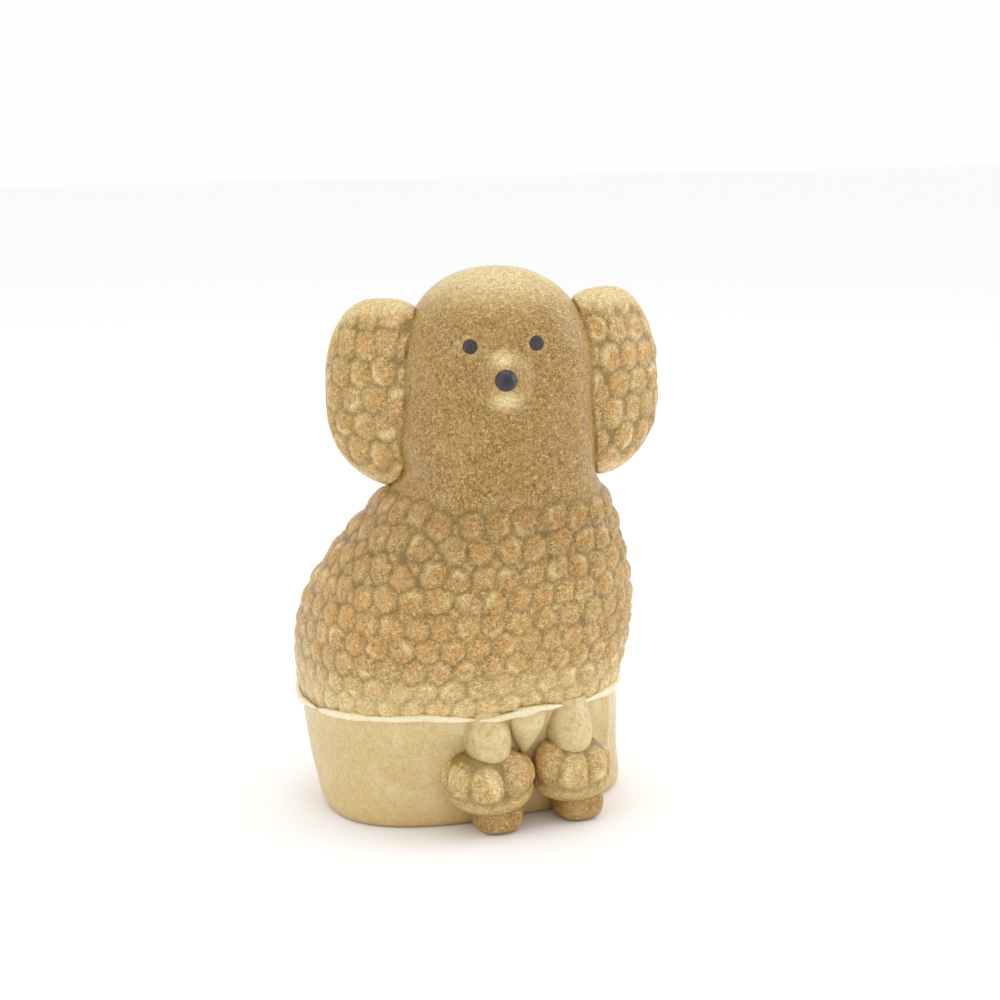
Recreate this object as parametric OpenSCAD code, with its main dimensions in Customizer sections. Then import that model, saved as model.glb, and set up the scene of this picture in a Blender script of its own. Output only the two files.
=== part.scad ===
// Seated poodle figurine in slip-cast stoneware, modelled as the clay pieces that it is luted together from.
// Millimetres. +Z is up, the dog's body faces -Y and its own right side is at -X.

/* [Body] */
// Height from the resting face to the crown of the head
height = 126.5; // [120:0.5:134]
// Widest width of the curly coat
body_w = 80; // [76:1:84]
// Depth of the coat at its lower edge
body_d = 64; // [60:1:68]
// Thickness of the cast wall
wall = 4.5; // [3.5:0.5:5.5]
// Height of the coat's lower edge above the resting face
coat_bottom = 28; // [27:0.5:29]
// Height at which the coat gives way to the smooth neck
coat_top = 79.5; // [78.5:0.5:80.5]

/* [Coat] */
// Rows of curls from the lower edge to the neck
curl_rows = 10; // [8:1:11]
// Curls in each row
curl_count = 30; // [26:1:32]
// Height of a curl above the valley round it
curl_h = 1.4; // [0.8:0.1:1.8]
// Thickness of the bead of slip along the coat's lower edge
bead_d = 2; // [1.6:0.1:2.4]

/* [Head] */
// Width of the head between the ears
head_w = 43; // [41:0.5:45]
// Depth of the head from the forehead to its back
head_d = 41; // [39:0.5:43]
// Turn of the head towards the dog's right, in degrees
head_turn = 20; // [10:1:25]
// Tilt of the head towards the dog's right shoulder, in degrees
head_roll = 2.5; // [0:0.5:3]
// Height of an ear
ear_h = 42; // [38:1:44]
// Width of an ear, from its root on the head to its outer edge
ear_w = 28; // [26:0.5:29]
// Thickness of an ear
ear_t = 13; // [11:0.5:14]
// Diameter of an eye
eye_d = 3.1; // [2.8:0.1:3.8]
// Diameter of the nose
nose_d = 4.8; // [4:0.1:5.2]

/* [Legs] */
// Distance between the middles of the two forelegs
leg_gap = 20.6; // [20.4:0.2:22]
// Diameter of a foreleg
leg_d = 10; // [9:0.5:11]
// Width of the curly cuff above a paw
cuff_d = 19.2; // [17.5:0.1:20]
// Diameter of a paw
paw_d = 11.5; // [11:0.5:13]

/* [Base] */
// Thickness of the floor that closes the casting
floor_t = 4.5; // [4:0.5:5]
// Diameter of the vent hole that lets the kiln gases out
vent_d = 8; // [6:0.5:10]

/* [Hidden] */

squareness = 2.45;                   // exponent of the superellipse that every section of the body is
dome_power = 2.18;                   // the same for the outline of the dome of the head
around = 48;                         // points round a plain section
gap = 0.02;                          // a luted piece starts this far off the piece under it
half_body = body_w / 2;
extra_d = body_d - 64;               // extra depth, which all goes to the back
dome_h = 22.5;                       // height of the dome of the head
head_at = [1, -15, height - dome_h]; // middle of the head, where its dome begins
leg_mid = 1.9;                       // middle of the pair of forelegs
leg_y = -29;                         // line of the forelegs
glaze_colour = [0.80, 0.68, 0.46];
smooth_colour = [0.85, 0.77, 0.56];
face_colour = [0.72, 0.58, 0.36];
bead_colour = [0.91, 0.87, 0.70];
dark_colour = [0.12, 0.11, 0.13];
face_y = head_at[1] - head_d / 2;
nape_y = head_at[1] + head_d / 2;

// Sections of the body: height, middle in X, half width, front and back in Y, turn about Z.
sections = [
    [0, 1.1, half_body - 5.2, -22.9, 17 + extra_d, 0],
    [1, 1.1, half_body - 4, -24.1, 19 + extra_d, 0],
    [3, 1, half_body - 3.4, -25, 21.5 + extra_d, 0],
    [7, 0.6, half_body - 3.4, -25.9, 24.5 + extra_d, 0],
    [12, 0.1, half_body - 3.3, -27.1, 27.7 + extra_d, 0],
    [20, -0.6, half_body - 3, -29.2, 30.8 + extra_d, 0],
    [28, -1.6, half_body - 3.1, -31.5, 32.1 + extra_d, 0],
    [38, -1.2, half_body - 1.7, -33.2, 31.3 + extra_d, 0],
    [48, -0.7, half_body - 1.9, -34.1, 27.9 + extra_d, 0],
    [58, -0.2, half_body - 5.2, -34.6, 22 + extra_d / 2, 0],
    [67, 0.4, half_body - 9.5, -34.6, 14.5, 0],
    [74, 1.3, half_body - 14.1, -34.6, 9, 0],
    [80, 1.5, half_body - 18, -34.6, 6.5, 0],
    [88, head_at[0], head_w / 2 + 0.8, face_y + 1, nape_y, -head_turn * 0.6],
    [96, head_at[0], head_w / 2, face_y, nape_y, -head_turn],
    [head_at[2], head_at[0], head_w / 2, face_y, nape_y, -head_turn]];

function row_under(z, i = 0) = (i >= len(sections) - 2 || z < sections[i + 1][0]) ? i : row_under(z, i + 1);
// Slope of a column of the sections at row i.
function slope(i, column) =
    let (lo = max(0, i - 1), hi = min(len(sections) - 1, i + 1))
    (sections[hi][column] - sections[lo][column]) / (sections[hi][0] - sections[lo][0]);
// A column of the sections at height z, as a cubic through the rows.
function smooth(z, column) =
    let (i = row_under(z), h = sections[i + 1][0] - sections[i][0], t = (z - sections[i][0]) / h)
    (2 * t ^ 3 - 3 * t ^ 2 + 1) * sections[i][column] + (t ^ 3 - 2 * t ^ 2 + t) * h * slope(i, column)
    + (3 * t ^ 2 - 2 * t ^ 3) * sections[i + 1][column] + (t ^ 3 - t ^ 2) * h * slope(i + 1, column);

// How much the dome of the head has closed in at height z, from 1 where it begins to 0 at the crown.
function dome(z, out) =
    z <= head_at[2] ? 1
    : pow(max(0, 1 - pow((z - head_at[2]) / (dome_h + out), dome_power)), 1 / dome_power);
// Middle in X and Y, half width, half depth and turn of the body at height z, grown outwards by out.
function section(z, out = 0) =
    let (zs = min(z, head_at[2]), front = smooth(zs, 3), back = smooth(zs, 4), d = dome(z, out))
    [smooth(zs, 1), (front + back) / 2, (smooth(zs, 2) + out) * d, ((back - front) / 2 + out) * d,
     smooth(zs, 5)];

function turned(p, a) = [p[0] * cos(a) - p[1] * sin(a), p[0] * sin(a) + p[1] * cos(a)];
function power(v, e) = sign(v) * pow(abs(v), e);
// The point of the body's surface at height z and angle, moved outwards by out.
function skin(z, angle, out = 0) =
    let (s = section(z, out), e = 2 / squareness,
         p = turned([s[2] * power(cos(angle), e), s[3] * power(sin(angle), e)], s[4]))
    [s[0] + p[0], s[1] + p[1], z];
function ring(z, out = 0, n = around) = [for (j = [0:n - 1]) skin(z, 360 * j / n, out)];
// A point inside the body is moved straight out to its surface. Any other point stays.
function off_body(p) =
    let (s = section(p[2], gap), q = turned([p[0] - s[0], p[1] - s[1]], -s[4]),
         f = pow(pow(abs(q[0]) / s[2], squareness) + pow(abs(q[1]) / s[3], squareness), 1 / squareness),
         r = turned(q / min(1, f), s[4]))
    [s[0] + r[0], s[1] + r[1], p[2]];

// A solid through rings of equally many points, closed by a flat face at each end.
module loft(rings) {
    n = len(rings[0]);
    m = len(rings);
    sides = [for (i = [0:m - 2]) for (j = [0:n - 1])
        let (a = i * n + j, b = i * n + (j + 1) % n, c = a + n, d = b + n)
        each [[a, c, b], [b, c, d]]];
    last = (m - 1) * n;
    ends = [for (j = [1:n - 2]) each [[0, j, j + 1], [last, last + j + 1, last + j]]];
    polyhedron([for (r = rings) each r], concat(sides, ends), convexity = 6);
}

// A ring-shaped wall that is open at both ends: outer rings from the bottom, inner rings from the bottom.
module wall_loft(outer, inner) {
    rings = concat(outer, [for (i = [len(inner) - 1:-1:0]) inner[i]]);
    n = len(rings[0]);
    m = len(rings);
    faces = [for (i = [0:m - 1]) for (j = [0:n - 1])
        let (up = ((i + 1) % m) * n, a = i * n + j, b = i * n + (j + 1) % n, c = up + j, d = up + (j + 1) % n)
        each [[a, c, b], [b, c, d]]];
    polyhedron([for (r = rings) each r], faces, convexity = 6);
}

module floor_plate() color(smooth_colour) difference() {
    loft([for (z = [0, 0.5, 1.5, 3, floor_t]) ring(z)]);
    translate([0, 0, -1]) cylinder(d = vent_d, h = floor_t + 2, $fn = 48);
}

module lower_body() color(smooth_colour) {
    steps = 6;
    levels = [for (i = [0:steps]) floor_t + (coat_bottom - floor_t) * i / steps];
    wall_loft([for (z = levels) ring(z)], [for (z = levels) ring(z, -wall)]);
}

// The coat is a wall whose outside is a honeycomb of curls, each a low six-sided cone.
row_h = (coat_top - coat_bottom) / curl_rows;
curl_step = 360 / curl_count;
zig = 2 * curl_count;                // corners in one zigzag between two rows
function crown(i, j) = skin(coat_bottom + row_h * (i + 0.5), curl_step * (j + (i % 2) / 2), curl_h);
zig_h = 1 / 6;                       // how far a corner stands above or below its row's edge, in rows
// Corner s of the zigzag over row i. Row -1 is the lower rim, and the last zigzag is the upper rim.
function corner_z(i, s) =
    i < 0 ? coat_bottom : i == curl_rows - 1 ? coat_top
    : coat_bottom + row_h * (i + 1 + ((s + i) % 2 == 0 ? zig_h : -zig_h));
function corner_at(i, s) = skin(corner_z(i, s), curl_step * s / 2);
function corner_index(i, s) = (i + 1) * zig + (s + zig) % zig;
// The six corners round curl j of row i, anticlockwise as seen from outside.
function corners_round(i, j) =
    let (s = 2 * j + i % 2)
    [for (q = [[i, 1], [i, 0], [i, -1], [i - 1, -1], [i - 1, 0], [i - 1, 1]]) corner_index(q[0], s + q[1])];

module coat() color(glaze_colour) {
    inner_rows = 5;
    corners = [for (i = [-1:curl_rows - 1]) for (s = [0:zig - 1]) corner_at(i, s)];
    crowns = [for (i = [0:curl_rows - 1]) for (j = [0:curl_count - 1]) crown(i, j)];
    coat_h = coat_top - coat_bottom;
    inside = [for (i = [0:inner_rows]) each ring(coat_top - coat_h * i / inner_rows, -wall, zig)];
    first_crown = len(corners);
    first_inner = first_crown + len(crowns);
    top_rim = corner_index(curl_rows - 1, 0);
    last_inner = first_inner + inner_rows * zig;
    curl_faces = [for (i = [0:curl_rows - 1]) for (j = [0:curl_count - 1])
        let (c = first_crown + i * curl_count + j, w = corners_round(i, j))
        each [for (k = [0:5]) [c, w[(k + 1) % 6], w[k]]]];
    inner_faces = [for (i = [0:inner_rows - 1]) for (s = [0:zig - 1])
        let (a = first_inner + i * zig + s, b = first_inner + i * zig + (s + 1) % zig)
        each [[a, a + zig, b], [b, a + zig, b + zig]]];
    rim_faces = [for (s = [0:zig - 1])
        let (t = (s + 1) % zig)
        each [[top_rim + s, first_inner + s, top_rim + t], [top_rim + t, first_inner + s, first_inner + t],
              [last_inner + s, s, last_inner + t], [last_inner + t, s, t]]];
    polyhedron(concat(corners, crowns, inside), concat(curl_faces, inner_faces, rim_faces), convexity = 8);
}

// The bead of slip under the coat, as runs from one angle to another, with the gaps where it was wiped away.
bead_runs = [[-118, -97], [-91, -58], [-52, 28], [34, 118], [124, 206], [212, 236]];
bead_step = 6;                       // degrees between two rings of the bead
// The ring of radius r round the bead at angle a, which hangs from the coat's lower edge.
function bead_ring(a, r) =
    let (sides = 12, p = skin(coat_bottom, a, gap), q = skin(coat_bottom, a + 0.5, gap),
         along = (q - p) / norm(q - p), outward = [along[1], -along[0], 0])
    [for (k = [0:sides - 1])
        off_body(p + r * (outward * cos(360 * k / sides) + [0, 0, sin(360 * k / sides) - 1]))];
module coat_edge_bead() color(bead_colour) for (run = bead_runs) {
    steps = ceil((run[1] - run[0]) / bead_step);
    loft([for (i = [0:steps])
        bead_ring(run[0] + (run[1] - run[0]) * i / steps,
                  bead_d / 2 * min(1, 0.5 + 2 * min(i, steps - i) / steps))]);
}

// The head and neck: the hollow's rings from its top down, then the outside's rings from the bottom up.
neck_rings = 6;
function head_rings(out) = [
    for (i = [0:neck_rings - 1]) ring(coat_top + (head_at[2] - coat_top) * i / neck_rings, out),
    for (lat = [0:9:81]) ring(head_at[2] + (dome_h + out) * sin(lat), out),
    ring(head_at[2] + (dome_h + out) * sin(87), out)];
module head() color(face_colour) {
    hollow = head_rings(-wall);
    loft(concat([for (i = [len(hollow) - 1:-1:0]) hollow[i]], head_rings(0)));
}

// A point of the head's own frame, whose origin is the middle of the head and whose face looks along -Y.
function from_head(p) =
    let (x = p[0] * cos(head_roll) - p[2] * sin(head_roll), q = turned([x, p[1]], -head_turn))
    head_at + [q[0], q[1], p[0] * sin(head_roll) + p[2] * cos(head_roll)];
// The point of the face that is so far across and up from the middle of the head, moved outwards by out.
function on_face(across, up, out) =
    let (x = across * cos(head_roll) - up * sin(head_roll),
         z = head_at[2] + across * sin(head_roll) + up * cos(head_roll), s = section(z, out),
         y = -s[3] * pow(1 - pow(abs(x) / s[2], squareness), 1 / squareness), p = turned([x, y], s[4]))
    [s[0] + p[0], s[1] + p[1], z];

// The muzzle is a low dome on the face. The nose sits on it, and the eyes sit on the face itself.
muzzle_at = [-0.2, -1];
muzzle_r = [5.6, 6.4];
muzzle_h = 4;
nose_at = [-0.2, 0];
nose_h = 1.2;
eye_up = 7.1;
eye_across = 7.2;
eye_h = 0.5;
function muzzle_out(across, up) =
    let (f = ((across - muzzle_at[0]) / muzzle_r[0]) ^ 2 + ((up - muzzle_at[1]) / muzzle_r[1]) ^ 2)
    muzzle_h * sqrt(max(0, 1 - f));

// A dome on the face, or on the muzzle where on_muzzle is true: its seat is the surface under it.
module face_dome(at, r, h, on_muzzle, n) {
    function circle_at(u, rise) = [for (k = [0:n - 1])
        let (across = at[0] + u * r[0] * cos(360 * k / n), up = at[1] + u * r[1] * sin(360 * k / n))
        on_face(across, up, gap + rise + (on_muzzle ? gap + muzzle_out(across, up) : 0))];
    seat = [for (u = [0.1, 0.4, 0.7]) circle_at(u, 0)];
    loft(concat(seat, [for (lat = [0:12:84]) circle_at(cos(lat), h * sin(lat))]));
}

module muzzle() color(face_colour) face_dome(muzzle_at, muzzle_r, muzzle_h, false, 28);
module nose() color(dark_colour) face_dome(nose_at, [nose_d / 2, nose_d / 2], nose_h, true, 20);
module eye(side) color(dark_colour)
    face_dome([side * eye_across, eye_up], [eye_d / 2, eye_d / 2], eye_h, false, 16);
module right_eye() eye(-1);
module left_eye() eye(1);

// An ear: a thick flap that hangs beside the head and sweeps back, narrower towards its lower end.
ear_root = [16, -5.5];               // where its middle line starts, inside the head's outline
ear_sweep = 42;                      // degrees from straight sideways
ear_seat = 2;                        // how far its rounded root reaches behind that
ear_mid_z = -5;
ear_flare = 1.8;                     // how far its lower half leans out
ear_tuck = 4.5;                      // how far its lower end then draws in
ear_power = 2.15;                    // exponent of the superellipse that is the outline of its face
ear_corner = 0.85;                   // power of sine and cosine that fills out the corners of its section
ear_points = 28;
// The ring round an ear at height u, from -1 at its lower end to 1 at its top.
function ear_ring(side, u) =
    let (c = pow(1 - pow(abs(u), ear_power), 1 / ear_power), half = (ear_w + ear_seat) / 2,
         low = max(0, -u), mid = half - ear_seat + ear_flare * low - ear_tuck * low ^ 4)
    [for (k = [0:ear_points - 1])
        let (a = side * 360 * k / ear_points, along = mid + half * c * power(cos(a), ear_corner),
             thick = ear_t / 2 * c * power(sin(a), ear_corner), p = turned([along, thick], ear_sweep))
        off_body(from_head([side * (ear_root[0] + p[0]), ear_root[1] + p[1], ear_mid_z + u * ear_h / 2]))];
module ear(side) color(glaze_colour) loft([for (lat = [-80:10:80]) ear_ring(side, sin(lat))]);
module right_ear() ear(-1);
module left_ear() ear(1);

// A leg is three pieces, one on top of the other, each with its back on the body.
paw_h = 5;
cuff_top = 18.8;
leg_top = coat_bottom + 1;
paw_out = 2.9;                       // a paw stands this far to the left of its leg
cuff_flat = 0.84;                    // depth of a cuff over its width
cuff_bias = 0.04;                    // share by which the right cuff is wider, and the left one narrower
cuff_cap = 60;                       // latitude at which a cuff's round side is cut off level
// A level ring round a leg, at [shift in X, shift in Y] from the leg's own line.
function leg_ring(side, z, rx, ry, shift = [0, 0], n = 32) = [for (k = [0:n - 1])
    off_body([leg_mid + side * leg_gap / 2 + shift[0] + rx * cos(360 * k / n),
              leg_y + shift[1] + ry * sin(360 * k / n), z])];

module paw(side) color(smooth_colour) {
    r = paw_d / 2;
    loft([for (q = [[0, -1.4], [0.5, -0.6], [1.4, -0.1], [3, 0], [paw_h - gap, -0.2]])
        leg_ring(side, q[0], r + q[1], r + q[1], [paw_out, 0])]);
}
module cuff(side) color(glaze_colour) {
    half_h = (cuff_top - paw_h) / 2;
    loft([for (lat = [-cuff_cap:cuff_cap / 5:cuff_cap])
        let (t = sin(lat) / sin(cuff_cap), r = cuff_d / 2 * pow(cos(lat), 0.8) * (1 - cuff_bias * side))
        leg_ring(side, paw_h + half_h * (1 + t), r, r * cuff_flat, [paw_out * (1 - t) / 4, 0])]);
}
module foreleg(side) color(smooth_colour) {
    r = leg_d / 2;
    levels = [[cuff_top + gap, -0.2, 0], [22, 0, -0.8], [25, 0.1, -2], [leg_top - 1, 0, -2.8],
              [leg_top, -1.4, -3]];
    loft([for (q = levels) leg_ring(side, q[0], r + q[1], r + q[1], [0, q[2]])]);
}
module right_paw() paw(-1);
module left_paw() paw(1);
module right_cuff() cuff(-1);
module left_cuff() cuff(1);
module right_foreleg() foreleg(-1);
module left_foreleg() foreleg(1);

// The pointed drop of clay that hangs from the coat between the forelegs.
tuft_h = 9;
tuft_r = [3.8, 1.8];                 // half its width and half its depth, at its top
tuft_x = leg_mid - 1;
// The ring round the drop at t, from 0 at its tip to 1 at its top.
function tuft_ring(t) =
    let (n = 20, z = coat_bottom - tuft_h * (1 - t), y = skin(z, -90)[1] - 0.4)
    [for (k = [0:n - 1])
        off_body([tuft_x + tuft_r[0] * pow(t, 0.7) * cos(360 * k / n),
                  y + tuft_r[1] * sqrt(t) * sin(360 * k / n), z])];
module chest_tuft() color(smooth_colour)
    loft([for (t = [0.12, 0.25, 0.45, 0.7, 0.9, 1]) tuft_ring(t)]);

// The tail: a short stem up the rump with a ball of curls on its end.
tail_x = -1.5;
pompom_z = 43;
pompom_r = 7;
pompom_foot = 54;                    // latitude at which the ball is cut off level, where the stem enters it
stem_r = 3.2;
stem_z = [coat_bottom + 2, pompom_z - pompom_r * sin(pompom_foot)];
// A level ring of radius r round the tail at height z, which stands so far off the coat.
function tail_ring(z, r, stand) =
    let (n = 28, y = skin(z, 90)[1] + curl_h + stand)
    [for (k = [0:n - 1]) off_body([tail_x + r * cos(360 * k / n), y + r * sin(360 * k / n), z])];
module tail_stem() color(smooth_colour)
    loft([for (t = [0:0.2:1])
        tail_ring(stem_z[0] + (stem_z[1] - gap - stem_z[0]) * t, stem_r - 1.2 * (2 * t - 1) ^ 4, 0)]);
module tail_pompom() color(glaze_colour)
    loft([for (lat = [-pompom_foot:12:78])
        tail_ring(pompom_z + pompom_r * sin(lat), pompom_r * cos(lat), 0.6)]);

floor_plate();
lower_body();
coat();
coat_edge_bead();
head();
muzzle();
nose();
right_eye();
left_eye();
right_ear();
left_ear();
right_foreleg();
left_foreleg();
right_cuff();
left_cuff();
right_paw();
left_paw();
chest_tuft();
tail_stem();
tail_pompom();
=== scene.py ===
import bpy
import numpy as np
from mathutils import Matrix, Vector


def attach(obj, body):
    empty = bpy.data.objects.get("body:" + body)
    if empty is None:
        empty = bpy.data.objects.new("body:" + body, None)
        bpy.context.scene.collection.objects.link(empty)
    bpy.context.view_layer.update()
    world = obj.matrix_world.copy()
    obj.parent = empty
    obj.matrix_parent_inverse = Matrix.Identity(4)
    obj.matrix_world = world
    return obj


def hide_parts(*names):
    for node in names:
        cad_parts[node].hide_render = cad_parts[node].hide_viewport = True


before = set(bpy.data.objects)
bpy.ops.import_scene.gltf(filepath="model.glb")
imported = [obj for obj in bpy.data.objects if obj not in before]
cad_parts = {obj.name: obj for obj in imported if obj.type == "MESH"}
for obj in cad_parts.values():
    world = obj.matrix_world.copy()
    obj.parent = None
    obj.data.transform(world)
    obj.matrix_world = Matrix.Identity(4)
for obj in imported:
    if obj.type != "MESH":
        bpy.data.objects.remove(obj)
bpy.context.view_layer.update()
mm = 0.001  # everything below is worked out in millimetres, in the frame of the CAD model
print("frame loaded:", len(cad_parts), "nodes")

# Helpers for surfaces.

def signedPower(value, exponent):
    return np.sign(value) * np.abs(value) ** exponent


def smoothStep(value, low, high):
    t = np.clip((value - low) / (high - low), 0, 1)
    return t * t * (3 - 2 * t)


def bell(value, width):
    return np.exp(-(value / width) ** 2)


def unit(vectors):
    return vectors / np.maximum(np.linalg.norm(vectors, axis=-1, keepdims=True), 1e-9)


def turnXY(x, y, angle):
    return x * np.cos(angle) - y * np.sin(angle), x * np.sin(angle) + y * np.cos(angle)


def stack(x, y, z):
    return np.stack(np.broadcast_arrays(x, y, z), -1).astype(float)


# Unevenness of hand-finished clay: the mean of a few sine waves in random directions, from -1 to 1.
def clayWaves(points, wavelength, seed, count=9):
    rng = np.random.default_rng(seed)
    way = unit(rng.normal(size=(count, 3)))
    number = 2 * np.pi / (wavelength * rng.uniform(0.7, 1.5, count))
    phase = rng.uniform(0, 2 * np.pi, count)
    return np.sin(points @ (way * number[:, None]).T + phase).sum(-1) / np.sqrt(count) / 1.4


# Places from 0 to 1 with one more very near each end, which keeps the shading flat up to an edge.
def holdEnds(share, gap=0.002):
    return np.concatenate([share[:1], share[:1] + gap, share[1:-1], share[-1:] - gap, share[-1:]])


# Outward directions on a grid of points: the cross product of the steps along its columns and its rows.
def gridNormals(points):
    along = np.roll(points, -1, 1) - np.roll(points, 1, 1)
    return unit(np.cross(along, np.gradient(points, axis=0)))


# The same for a closed piece, always away from the middle of its points.
def outwardNormals(points):
    normals = gridNormals(points)
    inward = (normals * (points - points.mean((0, 1)))).sum() < 0
    return -normals if inward else normals


# A mesh from a grid of points whose columns close on themselves. Its rows either close too (a wall
# with two faces, as a ring has) or end in one point at each end (as a ball does).
def makePiece(name, points, material, stands, marks, rowsWrap=False):
    rows, cols = points.shape[:2]
    r = np.arange(rows if rowsWrap else rows - 1)[:, None]
    c = np.arange(cols)[None]
    a, b = r * cols + c, r * cols + (c + 1) % cols
    d, e = (r + 1) % rows * cols + c, (r + 1) % rows * cols + (c + 1) % cols
    quads = np.stack(np.broadcast_arrays(a, b, e, d), -1).reshape(-1, 4)
    corners = points.reshape(-1, 3)
    fans = np.zeros((0, 3), int)
    if not rowsWrap:
        corners = np.concatenate([corners, points[0].mean(0)[None], points[-1].mean(0)[None]])
        k = np.arange(cols)
        first, last = rows * cols, rows * cols + 1
        fans = np.concatenate([
            np.stack([np.full(cols, first), (k + 1) % cols, k], -1),
            np.stack([np.full(cols, last), (rows - 1) * cols + k, (rows - 1) * cols + (k + 1) % cols], -1)])
    triangles = np.concatenate([quads[:, [0, 1, 2]], quads[:, [0, 2, 3]], fans])
    p, q, s = (corners[triangles[:, i]] for i in range(3))
    if np.einsum("ij,ij->i", p, np.cross(q, s)).sum() < 0:  # inside out: every face is turned round
        quads, fans = quads[:, ::-1], fans[:, ::-1]
    mesh = bpy.data.meshes.new(name)
    mesh.from_pydata((corners * mm).tolist(), [], quads.tolist() + fans.tolist())
    for key, value in marks.items():
        value = np.broadcast_to(value, (rows, cols))
        flat = value.reshape(-1)
        if not rowsWrap:
            flat = np.concatenate([flat, [value[0].mean(), value[-1].mean()]])
        mesh.attributes.new(key, "FLOAT", "POINT").data.foreach_set("value", flat.astype(np.float32))
    mesh.shade_smooth()
    mesh.validate()
    piece = bpy.data.objects.new(name, mesh)
    bpy.context.scene.collection.objects.link(piece)
    mesh.materials.append(material)
    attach(piece, "root")
    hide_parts(*stands)
    print(name, "faces:", len(quads) + len(fans))


# Heights of the sections, and at each one the middle in X, half width, front and back in Y, and turn.
bodyShape = {
    "level": [0, 1, 3, 7, 12, 20, 28, 38, 48, 58, 67, 74, 80, 88, 96, 104],
    "middleX": [1.1, 1.1, 1, 0.6, 0.1, -0.6, -1.6, -1.2, -0.7, -0.2, 0.4, 1.3, 1.5, 1, 1, 1],
    "halfWidth": [34.8, 36, 36.6, 36.6, 36.7, 37, 36.9, 38.3, 38.1, 34.8, 30.5, 25.9, 22, 22.3, 21.5, 21.5],
    "frontY": [-22.9, -24.1, -25, -25.9, -27.1, -29.2, -31.5, -33.2, -34.1, -34.6, -34.6, -34.6, -34.6,
               -34.5, -35.5, -35.5],
    "backY": [17, 19, 21.5, 24.5, 27.7, 30.8, 32.1, 31.3, 27.9, 22, 14.5, 9, 6.5, 5.5, 5.5, 5.5],
    "turn": [0, 0, 0, 0, 0, 0, 0, 0, 0, 0, 0, 0, 0, -12, -20, -20],
    "squareness": 2.45,
    "domePower": 2.18,
    "domeStart": 104,
    "domeHeight": 22.5,
    "wall": 4.5,
}


# A smooth curve through the sections: a cubic between two levels, whose slope at a level is that of
# the line through its two neighbours.
def sectionValue(key, z):
    level, value = np.array(bodyShape["level"], float), np.array(bodyShape[key], float)
    count = len(level)
    lower, upper = np.maximum(np.arange(count) - 1, 0), np.minimum(np.arange(count) + 1, count - 1)
    slope = (value[upper] - value[lower]) / (level[upper] - level[lower])
    z = np.clip(z, 0, bodyShape["domeStart"])
    i = np.clip(np.searchsorted(level, z, side="right") - 1, 0, count - 2)
    step = level[i + 1] - level[i]
    t = (z - level[i]) / step
    return ((2 * t**3 - 3 * t**2 + 1) * value[i] + (t**3 - 2 * t**2 + t) * step * slope[i]
            + (3 * t**2 - 2 * t**3) * value[i + 1] + (t**3 - t**2) * step * slope[i + 1])


# Middle, half axes and turn of the body's section at height z, grown outwards by out. Above the start
# of the dome both half axes shrink as the outline of a superellipse does.
def bodySection(z, out=0.0):
    look = bodyShape
    rise = np.clip((z - look["domeStart"]) / (look["domeHeight"] + out), 0, 1)
    dome = (1 - rise ** look["domePower"]) ** (1 / look["domePower"])
    front, back = sectionValue("frontY", z), sectionValue("backY", z)
    return (sectionValue("middleX", z), (front + back) / 2, (sectionValue("halfWidth", z) + out) * dome,
            ((back - front) / 2 + out) * dome, np.radians(sectionValue("turn", z)))


# The body's surface: a superellipse round its section's middle, at height z and angle.
def bodySkin(z, angle, out=0.0):
    midX, midY, halfX, halfY, turn = bodySection(z, out)
    power = 2 / bodyShape["squareness"]
    x, y = turnXY(halfX * signedPower(np.cos(angle), power), halfY * signedPower(np.sin(angle), power), turn)
    return stack(midX + x, midY + y, z)


# Points inside the body are moved straight out to its surface, and sunk into it by sink.
def offBody(points, sink=0.12):
    midX, midY, halfX, halfY, turn = bodySection(points[..., 2], -sink)
    x, y = turnXY(points[..., 0] - midX, points[..., 1] - midY, -turn)
    square = bodyShape["squareness"]
    halfX, halfY = np.maximum(halfX, 1e-6), np.maximum(halfY, 1e-6)
    reach = (np.abs(x / halfX) ** square + np.abs(y / halfY) ** square) ** (1 / square)
    grow = 1 / np.clip(reach, 1e-3, 1)
    x, y = turnXY(x * grow, y * grow, turn)
    return stack(midX + x, midY + y, points[..., 2])


headShape = {
    "middle": [1, -15, 104],
    "turn": -20,  # degrees
    "roll": 2.5,
}


# From the head's own frame, whose face looks along -Y, to the model's.
def fromHead(x, y, z):
    roll, turn = np.radians(headShape["roll"]), np.radians(headShape["turn"])
    level, up = x * np.cos(roll) - z * np.sin(roll), x * np.sin(roll) + z * np.cos(roll)
    across, deep = turnXY(level, y, turn)
    middle = headShape["middle"]
    return stack(middle[0] + across, middle[1] + deep, middle[2] + up)


# The point of the face that lies so far across and up from the head's middle, moved outwards by out.
def faceSkin(across, up, out):
    roll = np.radians(headShape["roll"])
    x = across * np.cos(roll) - up * np.sin(roll)
    z = headShape["middle"][2] + across * np.sin(roll) + up * np.cos(roll)
    midX, midY, halfX, halfY, turn = bodySection(z, out)
    square = bodyShape["squareness"]
    y = -halfY * (1 - np.clip(np.abs(x) / halfX, 0, 1) ** square) ** (1 / square)
    x, y = turnXY(x, y, turn)
    return stack(midX + x, midY + y, z)


# The curls in relief.

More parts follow.
